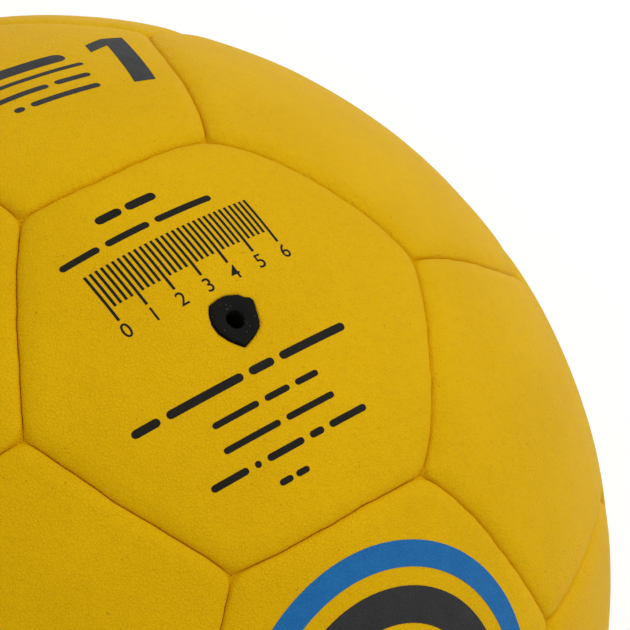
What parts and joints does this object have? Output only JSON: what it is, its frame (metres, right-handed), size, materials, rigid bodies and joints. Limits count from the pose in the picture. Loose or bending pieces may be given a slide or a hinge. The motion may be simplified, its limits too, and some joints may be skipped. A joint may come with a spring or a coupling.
{
  "type": "handball",
  "caption": "Sewn handball of hexagon and pentagon panels over cloth linings and a rubber bladder, with a self-closing needle valve.",
  "frame": {"origin": "the middle of the ball", "axes": "+Z runs out of the needle bore, and +X points over one of the three pentagons round the valve panel"},
  "size_m": [0.162, 0.1616, 0.1628],
  "materials": {
    "cover": "matt fine-grained coated cover",
    "lining": "woven cloth, laminated",
    "thread": "waxed sewing thread",
    "bladder": "dull moulded rubber",
    "patch": "woven cloth",
    "valve": "matt rubber, trimmed by hand",
    "core": "soft rubber"
  },
  "bodies": {
    "root": {"valve_panel": "cover", "hexagon_panel_01": "cover", "hexagon_panel_02": "cover", "hexagon_panel_03": "cover", "hexagon_panel_04": "cover", "hexagon_panel_05": "cover", "hexagon_panel_06": "cover", "hexagon_panel_07": "cover", "hexagon_panel_08": "cover", "hexagon_panel_09": "cover", "hexagon_panel_10": "cover", "hexagon_panel_11": "cover", "hexagon_panel_12": "cover", "hexagon_panel_13": "cover", "hexagon_panel_14": "cover", "hexagon_panel_15": "cover", "hexagon_panel_16": "cover", "hexagon_panel_17": "cover", "hexagon_panel_18": "cover", "hexagon_panel_19": "cover", "pentagon_panel_01": "cover", "pentagon_panel_02": "cover", "pentagon_panel_03": "cover", "pentagon_panel_04": "cover", "pentagon_panel_05": "cover", "pentagon_panel_06": "cover", "pentagon_panel_07": "cover", "pentagon_panel_08": "cover", "pentagon_panel_09": "cover", "pentagon_panel_10": "cover", "pentagon_panel_11": "cover", "pentagon_panel_12": "cover", "valve_panel_lining": "lining", "hexagon_linings": "lining", "pentagon_linings": "lining", "hexagon_seam_threads": "thread", "pentagon_seam_threads": "thread", "bladder": "bladder", "valve_patch": "patch", "valve_body": "valve", "valve_core": "core"}
  },
  "joints": []
}
